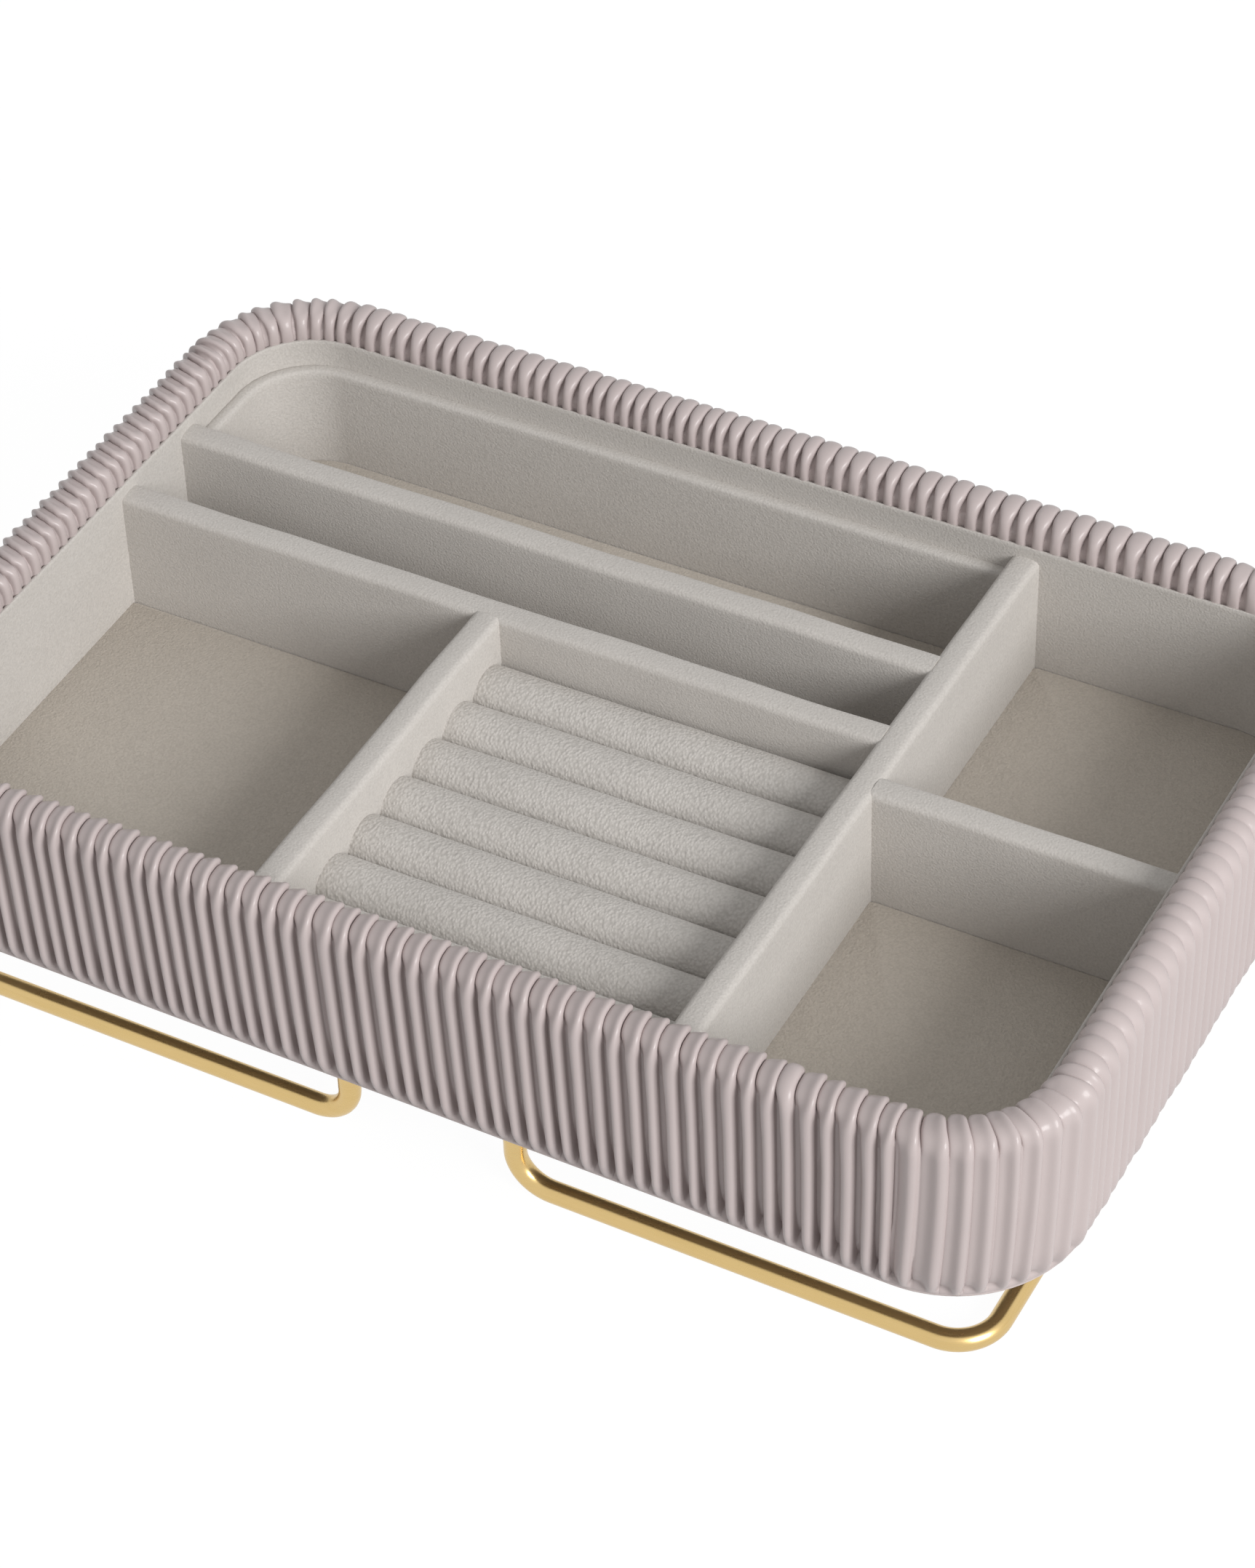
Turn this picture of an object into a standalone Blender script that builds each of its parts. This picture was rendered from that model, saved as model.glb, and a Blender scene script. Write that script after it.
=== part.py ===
"""Open jewellery tray on two bent wire feet.

A board frame with rounded corners is padded and covered in gathered satin leatherette, and lined
with suede. Padded dividers part the inside into six compartments, and one of them holds a bed of
rolls for rings. Metres, +Z up. The origin is on the table, under the middle of the tray.
"""

import math

import bmesh
import bpy

# The room inside the lined wall
INNER_WIDTH = 0.2760
INNER_DEPTH = 0.1755
INNER_CORNER_RADIUS = 0.0200

# One clearance for every pair of pieces that touch
FIT_GAP = 0.0003

# The wall, from the lining outward
LINING_THICKNESS = 0.0015
LINING_HEIGHT = 0.0354
FRAME_THICKNESS = 0.0045
PADDING_THICKNESS = 0.0027
SKIN_THICKNESS = 0.0006
PLEAT_DEPTH = 0.0018

# The gathers of the cover
PLEAT_COUNT = 204
PLEAT_FLARE_HEIGHT = 0.0050
PLEAT_FOOT_SHARE = 0.35
RIM_STEPS = 4

# The bottom, from the underside up
UNDERSIDE_THICKNESS = 0.0008
BASE_THICKNESS = 0.0030
FLOOR_PAD_THICKNESS = 0.0020
HEM_HEIGHT = 0.0024
HEM_INSET = 0.0031

# Padded dividers: a board core under a folded suede wrap
DIVIDER_CORE_THICKNESS = 0.0032
DIVIDER_WRAP_THICKNESS = 0.0016
DIVIDER_HEIGHT = 0.0320
DIVIDER_EDGE_RADIUS = 0.0022

# Compartments
REAR_ROW_DEPTH = 0.0391
MIDDLE_ROW_DEPTH = 0.0196
LEFT_BLOCK_WIDTH = 0.1984
LEFT_COMPARTMENT_WIDTH = 0.0961
BACK_RIGHT_DEPTH = 0.0819
STEP_LINER_THICKNESS = 0.0028
STEP_LINER_HEIGHT = 0.0276

# Ring rolls on their bed
RING_ROLL_COUNT = 7
RING_FRONT_GAP = 0.0034
RING_ROLL_TOP = 0.0221
RING_ROLL_CROWN = 0.0045
RING_ROLL_EDGE_RADIUS = 0.0030
RING_BED_HEIGHT = 0.0065

# Wire feet and the threaded inserts that hold them
WIRE_DIAMETER = 0.0052
FOOT_HEIGHT = 0.0300
FOOT_ROD_SPACING = 0.0422
FOOT_INSET_FRONT = 0.0040
FOOT_INSET_SIDE = 0.0052
ROD_BEND_RADIUS = 0.0090
FOOT_CORNER_RADIUS = 0.0105
INSERT_WALL = 0.0012

# How finely round shapes are divided
CORNER_SEGMENTS = 8
EDGE_SEGMENTS = 3
CROWN_SEGMENTS = 8
HOLE_SEGMENTS = 16
BEND_SEGMENTS = 6
WIRE_BEVEL_RESOLUTION = 2

# The wall's faces, as distances outward from the lined face
FRAME_FACE = LINING_THICKNESS + FIT_GAP
FRAME_OUTER_FACE = FRAME_FACE + FRAME_THICKNESS
PADDING_FACE = FRAME_OUTER_FACE + FIT_GAP
PADDING_OUTER_FACE = PADDING_FACE + PADDING_THICKNESS
SKIN_FACE = PADDING_OUTER_FACE + FIT_GAP
WALL_THICKNESS = SKIN_FACE + SKIN_THICKNESS + PLEAT_DEPTH
HEM_OUTER_FACE = WALL_THICKNESS - HEM_INSET
RIM_RADIUS = WALL_THICKNESS / 2
RIM_HOLLOW_RADIUS = RIM_RADIUS - PLEAT_DEPTH - SKIN_THICKNESS

# Heights above the table
TRAY_BOTTOM = FOOT_HEIGHT
BASE_BOTTOM = TRAY_BOTTOM + UNDERSIDE_THICKNESS + FIT_GAP
BASE_TOP = BASE_BOTTOM + BASE_THICKNESS
SEAT = BASE_TOP + FIT_GAP
FLOOR = SEAT + FLOOR_PAD_THICKNESS
LINING_TOP = FLOOR + LINING_HEIGHT
RIM_CENTRE = LINING_TOP + FIT_GAP
HEM_TOP = TRAY_BOTTOM + HEM_HEIGHT
COVER_BOTTOM = HEM_TOP + FIT_GAP

# The compartments' edges in plan
LEFT = -INNER_WIDTH / 2
RIGHT = INNER_WIDTH / 2
FRONT = -INNER_DEPTH / 2
BACK = INNER_DEPTH / 2
DIVIDER_THICKNESS = DIVIDER_CORE_THICKNESS + 2 * (DIVIDER_WRAP_THICKNESS + FIT_GAP)
REAR_DIVIDER_BACK = BACK - REAR_ROW_DEPTH
REAR_DIVIDER_FRONT = REAR_DIVIDER_BACK - DIVIDER_THICKNESS
MIDDLE_DIVIDER_BACK = REAR_DIVIDER_FRONT - MIDDLE_ROW_DEPTH
MIDDLE_DIVIDER_FRONT = MIDDLE_DIVIDER_BACK - DIVIDER_THICKNESS
CROSS_DIVIDER_LEFT = LEFT + LEFT_BLOCK_WIDTH
CROSS_DIVIDER_RIGHT = CROSS_DIVIDER_LEFT + DIVIDER_THICKNESS
RING_DIVIDER_LEFT = LEFT + LEFT_COMPARTMENT_WIDTH
RING_DIVIDER_RIGHT = RING_DIVIDER_LEFT + DIVIDER_THICKNESS
RIGHT_DIVIDER_BACK = BACK - BACK_RIGHT_DEPTH
RIGHT_DIVIDER_FRONT = RIGHT_DIVIDER_BACK - DIVIDER_THICKNESS
RING_ROLL_PITCH = (MIDDLE_DIVIDER_FRONT - FRONT - RING_FRONT_GAP) / RING_ROLL_COUNT

# The wire feet in plan
WIRE_RADIUS = WIRE_DIAMETER / 2
FOOT_RAIL_Y = INNER_DEPTH / 2 - FOOT_INSET_FRONT
FOOT_RAIL_X = INNER_WIDTH / 2 - FOOT_INSET_SIDE
FOOT_ROD_X = FOOT_ROD_SPACING / 2
ROD_HOLE_RADIUS = WIRE_RADIUS + FIT_GAP
INSERT_RADIUS = ROD_HOLE_RADIUS + INSERT_WALL
INSERT_HOLE_RADIUS = INSERT_RADIUS + FIT_GAP


def clear_scene():
    for old in list(bpy.data.objects):
        bpy.data.objects.remove(old, do_unlink=True)


def new_collection(name):
    collection = bpy.data.collections.new(name)
    bpy.context.scene.collection.children.link(collection)
    return collection


def new_material(name, colour, roughness, metallic=0.0):
    material = bpy.data.materials.new(name)
    material.use_nodes = True
    shader = material.node_tree.nodes["Principled BSDF"]
    shader.inputs["Base Color"].default_value = (*colour, 1.0)
    shader.inputs["Roughness"].default_value = roughness
    shader.inputs["Metallic"].default_value = metallic
    return material


def add_object(name, data, material, location=(0, 0, 0), rotation=(0, 0, 0)):
    piece = bpy.data.objects.new(name, data)
    piece.location = location
    piece.rotation_euler = rotation
    data.materials.append(material)
    TRAY.objects.link(piece)
    return piece


# Outlines

def arc(centre, radius, start, turn, segments):
    """Points along an arc; start and turn are in degrees, anticlockwise."""
    points = []
    for step in range(segments + 1):
        angle = math.radians(start + turn * step / segments)
        x = centre[0] + radius * math.cos(angle)
        y = centre[1] + radius * math.sin(angle)
        points.append((x, y))
    return points


def circle(centre, radius):
    return arc(centre, radius, 0, 360, HOLE_SEGMENTS)[:-1]


def rounded_box(x_span, y_span, radii):
    """Rectangle outline; radii run front left, front right, back right, back left, and 0 is square."""
    points = []
    corners = ((0, 0, 180), (1, 0, 270), (1, 1, 0), (0, 1, 90))
    for (ix, iy, start), radius in zip(corners, radii):
        x, y = x_span[ix], y_span[iy]
        if radius == 0:
            points.append((x, y))
            continue
        inward_x = radius if ix == 0 else -radius
        inward_y = radius if iy == 0 else -radius
        points += arc((x + inward_x, y + inward_y), radius, start, 90, CORNER_SEGMENTS)
    return points


def wall_outline(offset):
    """The tray's outline, that far outside the lined face."""
    radius = INNER_CORNER_RADIUS + offset
    return rounded_box((LEFT - offset, RIGHT + offset), (FRONT - offset, BACK + offset), (radius,) * 4)


# Solids

def outline_curve(name, outlines, thickness):
    """A flat 2D curve, filled and extruded; further outlines inside the first are holes."""
    curve = bpy.data.curves.new(name, "CURVE")
    curve.dimensions = "2D"
    curve.fill_mode = "BOTH"
    curve.extrude = thickness / 2
    for outline in outlines:
        spline = curve.splines.new("POLY")
        spline.points.add(len(outline) - 1)
        for point, (x, y) in zip(spline.points, outline):
            point.co = (x, y, 0, 1)
        spline.use_cyclic_u = True
    return curve


def plate(name, outlines, bottom, top, material):
    """A flat piece that lies level between two heights."""
    curve = outline_curve(name, outlines, top - bottom)
    return add_object(name, curve, material, location=(0, 0, (bottom + top) / 2))


def bar_along_x(name, outline, span, y, material):
    """A bar that runs left to right; its outline is drawn as (y, z) about the line y."""
    curve = outline_curve(name, [outline], span[1] - span[0])
    turn = (math.pi / 2, 0, math.pi / 2)
    return add_object(name, curve, material, location=((span[0] + span[1]) / 2, y, 0), rotation=turn)


def bar_along_y(name, outline, span, x, material):
    """A bar that runs front to back; its outline is drawn as (x, z) about the line x."""
    curve = outline_curve(name, [outline], span[1] - span[0])
    turn = (math.pi / 2, 0, 0)
    return add_object(name, curve, material, location=(x, (span[0] + span[1]) / 2, 0), rotation=turn)


def wall_loft(name, stations, sections, material):
    """A closed band round the tray: one section of (offset, height) points at each station."""
    mesh = bpy.data.meshes.new(name)
    band = bmesh.new()
    rings = []
    for (x, y, normal_x, normal_y), section in zip(stations, sections):
        ring = [band.verts.new((x + out * normal_x, y + out * normal_y, z)) for out, z in section]
        rings.append(ring)
    size = len(rings[0])
    for index, ring in enumerate(rings):
        following = rings[(index + 1) % len(rings)]
        for side in range(size):
            after = (side + 1) % size
            band.faces.new((ring[side], following[side], following[after], ring[after]))
    bmesh.ops.recalc_face_normals(band, faces=band.faces)
    band.to_mesh(mesh)
    band.free()
    return add_object(name, mesh, material)


def wire(name, path, material):
    curve = bpy.data.curves.new(name, "CURVE")
    curve.dimensions = "3D"
    curve.bevel_depth = WIRE_RADIUS
    curve.bevel_resolution = WIRE_BEVEL_RESOLUTION
    curve.use_fill_caps = True
    spline = curve.splines.new("POLY")
    spline.points.add(len(path) - 1)
    for point, place in zip(spline.points, path):
        point.co = (*place, 1)
    return add_object(name, curve, material)


# Places round the lined face

def corner_stations():
    """Points and outward normals at the ends and along the arcs of the four corners."""
    inset = INNER_CORNER_RADIUS
    centres = ((RIGHT - inset, FRONT + inset), (RIGHT - inset, BACK - inset),
               (LEFT + inset, BACK - inset), (LEFT + inset, FRONT + inset))
    stations = []
    for (x, y), start in zip(centres, (-90, 0, 90, 180)):
        for normal_x, normal_y in arc((0, 0), 1, start, 90, CORNER_SEGMENTS):
            stations.append((x + inset * normal_x, y + inset * normal_y, normal_x, normal_y))
    return stations


def lining_station(distance):
    """The point that far along the lined face, anticlockwise from the front left, and its normal."""
    radius = INNER_CORNER_RADIUS
    quarter = math.pi / 2 * radius
    half_spans = (INNER_WIDTH / 2 - radius, INNER_DEPTH / 2 - radius)
    for side in range(4):
        along, across = half_spans[side % 2], half_spans[(side + 1) % 2]
        heading = math.pi / 2 * side
        ahead = (math.cos(heading), math.sin(heading))
        outward = (ahead[1], -ahead[0])
        if distance <= 2 * along:
            run, reach = distance - along, across + radius
            x = ahead[0] * run + outward[0] * reach
            y = ahead[1] * run + outward[1] * reach
            return x, y, *outward
        distance -= 2 * along
        if distance <= quarter:
            angle = heading - math.pi / 2 + distance / radius
            normal = (math.cos(angle), math.sin(angle))
            x = ahead[0] * along + outward[0] * across + radius * normal[0]
            y = ahead[1] * along + outward[1] * across + radius * normal[1]
            return x, y, *normal
        distance -= quarter
    return lining_station(0)


def pleat_stations():
    """Two stations for each pleat, its crest and the fold after it, spaced evenly along the lining."""
    radius = INNER_CORNER_RADIUS
    perimeter = 2 * (INNER_WIDTH + INNER_DEPTH) - 8 * radius + 2 * math.pi * radius
    count = 2 * PLEAT_COUNT
    return [lining_station(perimeter * index / count) for index in range(count)]


# The wall

def cover_section(in_fold):
    """The gathered skin from its foot over the rim to the lining, on a crest or in a fold."""
    drop = PLEAT_DEPTH if in_fold else 0
    foot = SKIN_FACE + SKIN_THICKNESS + PLEAT_FOOT_SHARE * (PLEAT_DEPTH - drop)
    face = WALL_THICKNESS - drop
    section = [(foot, COVER_BOTTOM), (face, COVER_BOTTOM + PLEAT_FLARE_HEIGHT)]
    section += arc((RIM_RADIUS, RIM_CENTRE), RIM_RADIUS - drop, 0, 180, RIM_STEPS)
    section.append((RIM_RADIUS - RIM_HOLLOW_RADIUS, RIM_CENTRE))
    section.append((RIM_RADIUS, RIM_CENTRE + RIM_HOLLOW_RADIUS))
    section.append((RIM_RADIUS + RIM_HOLLOW_RADIUS, RIM_CENTRE))
    section.append((SKIN_FACE, COVER_BOTTOM))
    return section


def build_wall():
    plate("wall_frame", [wall_outline(FRAME_OUTER_FACE), wall_outline(FRAME_FACE)], SEAT, LINING_TOP, BOARD)
    plate("wall_lining", [wall_outline(LINING_THICKNESS), wall_outline(0)], SEAT, LINING_TOP, SUEDE)

    ridge = RIM_HOLLOW_RADIUS - 2 * FIT_GAP
    padding_section = [(PADDING_FACE, COVER_BOTTOM), (PADDING_OUTER_FACE, COVER_BOTTOM),
                       (PADDING_OUTER_FACE, RIM_CENTRE), (RIM_RADIUS, RIM_CENTRE + ridge),
                       (RIM_RADIUS - ridge, RIM_CENTRE), (PADDING_FACE, RIM_CENTRE)]
    stations = corner_stations()
    wall_loft("rim_padding", stations, [padding_section] * len(stations), FOAM)

    hem_section = [(0, TRAY_BOTTOM), (HEM_OUTER_FACE, TRAY_BOTTOM), (HEM_OUTER_FACE, HEM_TOP),
                   (PADDING_FACE, HEM_TOP), (PADDING_FACE, TRAY_BOTTOM + UNDERSIDE_THICKNESS),
                   (0, TRAY_BOTTOM + UNDERSIDE_THICKNESS)]
    wall_loft("hem_band", stations, [hem_section] * len(stations), SATIN)

    crest, fold = cover_section(False), cover_section(True)
    wall_loft("ruched_cover", pleat_stations(), [crest, fold] * PLEAT_COUNT, SATIN)


# The bottom

def rod_places():
    return [(x, y) for x in (-FOOT_ROD_X, FOOT_ROD_X) for y in (-FOOT_RAIL_Y, FOOT_RAIL_Y)]


def floor_pad(name, x_span, y_span, radii=(0, 0, 0, 0)):
    """A suede covered card that fills a compartment's floor, clear of the walls round it."""
    x_span = (x_span[0] + FIT_GAP, x_span[1] - FIT_GAP)
    y_span = (y_span[0] + FIT_GAP, y_span[1] - FIT_GAP)
    return plate(name, [rounded_box(x_span, y_span, radii)], SEAT, FLOOR, SUEDE)


def build_bottom():
    rod_holes = [circle(place, ROD_HOLE_RADIUS) for place in rod_places()]
    insert_holes = [circle(place, INSERT_HOLE_RADIUS) for place in rod_places()]
    plate("underside_cover", [wall_outline(-FIT_GAP)] + rod_holes,
          TRAY_BOTTOM, TRAY_BOTTOM + UNDERSIDE_THICKNESS, SATIN)
    plate("base_board", [wall_outline(FRAME_OUTER_FACE)] + insert_holes, BASE_BOTTOM, BASE_TOP, BOARD)

    corner = INNER_CORNER_RADIUS - FIT_GAP
    lined = STEP_LINER_THICKNESS + FIT_GAP
    floor_pad("left_floor", (LEFT, RING_DIVIDER_LEFT), (FRONT, MIDDLE_DIVIDER_FRONT), (corner, 0, 0, 0))
    floor_pad("middle_floor", (LEFT, CROSS_DIVIDER_LEFT), (MIDDLE_DIVIDER_BACK, REAR_DIVIDER_FRONT))
    floor_pad("rear_floor", (LEFT + lined, CROSS_DIVIDER_LEFT), (REAR_DIVIDER_BACK, BACK - lined),
              (0, 0, 0, corner - lined))
    floor_pad("back_right_floor", (CROSS_DIVIDER_RIGHT, RIGHT), (RIGHT_DIVIDER_BACK, BACK), (0, 0, corner, 0))
    floor_pad("front_right_floor", (CROSS_DIVIDER_RIGHT, RIGHT), (FRONT, RIGHT_DIVIDER_FRONT),
              (0, corner, 0, 0))


def build_step_liner():
    """A bent strip along the left and back walls of the rear compartment; its top edge shows as a step."""
    radius = INNER_CORNER_RADIUS - FIT_GAP
    inner_radius = radius - STEP_LINER_THICKNESS
    centre = (LEFT + INNER_CORNER_RADIUS, BACK - INNER_CORNER_RADIUS)
    start = REAR_DIVIDER_BACK + FIT_GAP
    end = CROSS_DIVIDER_LEFT - FIT_GAP
    outline = [(centre[0] - radius, start)]
    outline += arc(centre, radius, 180, -90, CORNER_SEGMENTS)
    outline += [(end, centre[1] + radius), (end, centre[1] + inner_radius)]
    outline += arc(centre, inner_radius, 90, 90, CORNER_SEGMENTS)
    outline.append((centre[0] - inner_radius, start))
    plate("rear_step_liner", [outline], SEAT, FLOOR + STEP_LINER_HEIGHT, SUEDE)


# The dividers

def wrap_outline():
    """Section of the folded suede: rounded on top, with a slot from below for the core."""
    half = DIVIDER_THICKNESS / 2
    slot = half - DIVIDER_WRAP_THICKNESS
    top = FLOOR + DIVIDER_HEIGHT
    shoulder = top - DIVIDER_EDGE_RADIUS
    outline = [(slot, SEAT), (half, SEAT)]
    outline += arc((half - DIVIDER_EDGE_RADIUS, shoulder), DIVIDER_EDGE_RADIUS, 0, 90, EDGE_SEGMENTS)
    outline += arc((DIVIDER_EDGE_RADIUS - half, shoulder), DIVIDER_EDGE_RADIUS, 90, 90, EDGE_SEGMENTS)
    outline += [(-half, SEAT), (-slot, SEAT)]
    outline += [(-slot, top - DIVIDER_WRAP_THICKNESS), (slot, top - DIVIDER_WRAP_THICKNESS)]
    return outline


def core_outline():
    half = DIVIDER_CORE_THICKNESS / 2
    top = FLOOR + DIVIDER_HEIGHT - DIVIDER_WRAP_THICKNESS - FIT_GAP
    return [(half, SEAT), (half, top), (-half, top), (-half, SEAT)]


def divider(name, make_bar, span, edge):
    """A divider between two faces, its suede wrap and its board core; edge is its lower-valued side."""
    span = (span[0] + FIT_GAP, span[1] - FIT_GAP)
    middle = edge + DIVIDER_THICKNESS / 2
    make_bar(name, wrap_outline(), span, middle, SUEDE)
    make_bar(name + "_core", core_outline(), span, middle, BOARD)


def build_dividers():
    divider("cross_divider", bar_along_y, (FRONT, BACK), CROSS_DIVIDER_LEFT)
    divider("rear_divider", bar_along_x, (LEFT, CROSS_DIVIDER_LEFT), REAR_DIVIDER_FRONT)
    divider("middle_divider", bar_along_x, (LEFT, CROSS_DIVIDER_LEFT), MIDDLE_DIVIDER_FRONT)
    divider("ring_divider", bar_along_y, (FRONT, MIDDLE_DIVIDER_FRONT), RING_DIVIDER_LEFT)
    divider("right_divider", bar_along_x, (CROSS_DIVIDER_RIGHT, RIGHT), RIGHT_DIVIDER_FRONT)


# The ring rolls

def roll_outline():
    """Section of one padded roll: a crowned top, upright flanks and rounded lower edges."""
    half = (RING_ROLL_PITCH - FIT_GAP) / 2
    bottom = FLOOR + RING_BED_HEIGHT + FIT_GAP
    top = FLOOR + RING_ROLL_TOP
    crown_radius = (half ** 2 + RING_ROLL_CROWN ** 2) / (2 * RING_ROLL_CROWN)
    lean = math.degrees(math.asin(half / crown_radius))
    edge = RING_ROLL_EDGE_RADIUS
    outline = arc((half - edge, bottom + edge), edge, 270, 90, EDGE_SEGMENTS)
    outline += arc((0, top - crown_radius), crown_radius, 90 - lean, 2 * lean, CROWN_SEGMENTS)
    outline += arc((edge - half, bottom + edge), edge, 180, 90, EDGE_SEGMENTS)
    return outline


def build_ring_section():
    x_span = (RING_DIVIDER_RIGHT + FIT_GAP, CROSS_DIVIDER_LEFT - FIT_GAP)
    y_span = (FRONT + FIT_GAP, MIDDLE_DIVIDER_FRONT - FIT_GAP)
    plate("ring_bed", [rounded_box(x_span, y_span, (0, 0, 0, 0))], SEAT, FLOOR + RING_BED_HEIGHT, BOARD)
    for index in range(RING_ROLL_COUNT):
        y = MIDDLE_DIVIDER_FRONT - FIT_GAP / 2 - (index + 0.5) * RING_ROLL_PITCH
        bar_along_x(f"ring_roll_{index + 1}", roll_outline(), x_span, y, ROLL_SUEDE)


# The feet

def foot_path(side):
    """One foot's centre line: down a rod, out along the front, back along the side, and up again."""
    rod_x = side * FOOT_ROD_X
    front = [(rod_x, -FOOT_RAIL_Y, BASE_TOP)]
    for out, up in arc((ROD_BEND_RADIUS, ROD_BEND_RADIUS), ROD_BEND_RADIUS, 180, 90, BEND_SEGMENTS):
        front.append((rod_x + side * out, -FOOT_RAIL_Y, WIRE_RADIUS + up))
    corner = (FOOT_RAIL_X - FOOT_CORNER_RADIUS, FOOT_CORNER_RADIUS - FOOT_RAIL_Y)
    for x, y in arc(corner, FOOT_CORNER_RADIUS, 270, 90, BEND_SEGMENTS):
        front.append((side * x, y, WIRE_RADIUS))
    return front + [(x, -y, z) for x, y, z in reversed(front)]


def build_feet():
    wire("foot_wire_left", foot_path(-1), GOLD)
    wire("foot_wire_right", foot_path(1), GOLD)
    for place in rod_places():
        side = "left" if place[0] < 0 else "right"
        end = "front" if place[1] < 0 else "back"
        outlines = [circle(place, INSERT_RADIUS), circle(place, ROD_HOLE_RADIUS)]
        plate(f"foot_insert_{end}_{side}", outlines, BASE_BOTTOM, BASE_TOP, STEEL)


clear_scene()
TRAY = new_collection("jewellery_tray")
SATIN = new_material("satin_leatherette", (0.56, 0.47, 0.46), 0.35)
SUEDE = new_material("suede", (0.42, 0.39, 0.36), 0.9)
ROLL_SUEDE = new_material("roll_suede", (0.45, 0.42, 0.39), 0.8)
FOAM = new_material("foam", (0.80, 0.78, 0.74), 0.95)
BOARD = new_material("board", (0.45, 0.33, 0.22), 0.8)
GOLD = new_material("gold_plate", (0.80, 0.58, 0.26), 0.15, 1.0)
STEEL = new_material("plated_steel", (0.55, 0.55, 0.56), 0.35, 1.0)

build_wall()
build_bottom()
build_step_liner()
build_dividers()
build_ring_section()
build_feet()
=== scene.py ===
"""The looks of a jewellery tray: a ruched padded wall, suede compartments, ring rolls and wire feet.

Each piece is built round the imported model, in metres, with +X right, +Y to the back and +Z up.
"""

import math

import bpy
import numpy as np
from mathutils import Euler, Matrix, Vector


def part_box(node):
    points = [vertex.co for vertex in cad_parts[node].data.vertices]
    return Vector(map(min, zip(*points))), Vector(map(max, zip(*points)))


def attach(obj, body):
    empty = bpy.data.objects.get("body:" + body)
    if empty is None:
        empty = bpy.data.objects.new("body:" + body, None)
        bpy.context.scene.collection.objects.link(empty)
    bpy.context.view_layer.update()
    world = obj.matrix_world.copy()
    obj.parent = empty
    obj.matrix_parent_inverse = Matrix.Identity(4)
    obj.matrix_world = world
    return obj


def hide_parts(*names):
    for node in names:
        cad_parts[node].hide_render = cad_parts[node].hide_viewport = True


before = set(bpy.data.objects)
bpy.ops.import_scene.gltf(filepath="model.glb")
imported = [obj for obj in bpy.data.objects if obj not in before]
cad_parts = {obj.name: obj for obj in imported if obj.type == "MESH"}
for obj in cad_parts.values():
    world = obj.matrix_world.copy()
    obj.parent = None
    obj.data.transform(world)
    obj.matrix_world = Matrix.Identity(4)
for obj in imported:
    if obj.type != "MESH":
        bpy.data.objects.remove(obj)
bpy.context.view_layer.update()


# The underside cover is a thin sheet of the same leatherette as the wall, glued flat under the
# base board, where it hides the board and the wall cover's turned-in edge.

MM = 0.001
HALF_WIDTH = 138.0 * MM
HALF_DEPTH = 87.75 * MM
CORNER_RADIUS = 20.0 * MM
CORNER_STEPS = 20
SHEET_EDGE_IN = 0.3 * MM
SHEET_EDGE_UP = 0.25 * MM


class Value:
    """One output of a node. Sums on it are written as plain expressions."""

    def __init__(self, finish, socket):
        self.finish = finish
        self.socket = socket

    def math(self, operation, first, second):
        return self.finish.node("ShaderNodeMath", {"operation": operation}, {0: first, 1: second})

    def __add__(self, other):
        return self.math("ADD", self, other)

    def __rsub__(self, other):
        return self.math("SUBTRACT", other, self)

    def __mul__(self, other):
        return self.math("MULTIPLY", self, other)

    __radd__ = __add__
    __rmul__ = __mul__


class Finish:
    """A material for one of the tray's real finishes, built up node by node."""

    def __init__(self, name, kept_in=bpy.data.materials):
        self.made = kept_in.new(name)
        self.made.use_nodes = True
        self.tree = self.made.node_tree
        self.tree.nodes.clear()

    def node(self, kind, settings=None, inputs=None, output=0):
        """A node of any kind. Its settings are set first, then its sockets get values or links."""
        made = self.tree.nodes.new(kind)
        for name, value in (settings or {}).items():
            setattr(made, name, value)
        for name, value in (inputs or {}).items():
            if isinstance(value, Value):
                self.tree.links.new(value.socket, made.inputs[name])
            else:
                made.inputs[name].default_value = value
        return Value(self, made.outputs[output] if made.outputs else None)

    def places(self, stretch=(1, 1, 1), turn=(0, 0, 0)):
        """Places in metres on the tray, for a pattern to follow."""
        spot = self.node("ShaderNodeTexCoord", output="Object")
        return self.node("ShaderNodeMapping", None, {"Vector": spot, "Scale": stretch, "Rotation": turn})

    def noise(self, scale, detail, rough=0.5, stretch=(1, 1, 1)):
        inputs = {"Vector": self.places(stretch), "Scale": scale, "Detail": detail, "Roughness": rough}
        return self.node("ShaderNodeTexNoise", None, inputs)

    def pebbles(self, scale, stretch, turn):
        """Small rounded bumps, close together and 1 at their tops."""
        inputs = {"Vector": self.places(stretch, turn), "Scale": scale, "Smoothness": 0.6}
        return 1.0 - self.node("ShaderNodeTexVoronoi", {"feature": "SMOOTH_F1"}, inputs)

    def blend(self, share, low, high):
        """A colour between two others, by a share from 0 to 1."""
        inputs = {0: share, 6: low, 7: high}
        return self.node("ShaderNodeMix", {"data_type": "RGBA"}, inputs, output=2)

    def bump(self, height, distance, strength):
        inputs = {"Height": height, "Distance": distance, "Strength": strength}
        return self.node("ShaderNodeBump", None, inputs)

    def shade(self, **inputs):
        """The surface itself. Its sockets are named with _ for each space."""
        named = {name.replace("_", " "): value for name, value in inputs.items()}
        surface = self.node("ShaderNodeBsdfPrincipled", None, named)
        self.node("ShaderNodeOutputMaterial", None, {"Surface": surface})
        return self.made

    def seen_directly(self):
        """1 where the camera sees a surface itself or its reflection, and 0 where it only gives light."""
        camera = self.node("ShaderNodeLightPath", output="Is Camera Ray")
        glossy = self.node("ShaderNodeLightPath", output="Is Glossy Ray")
        return camera + glossy + self.node("ShaderNodeLightPath", output="Is Transmission Ray")


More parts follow.
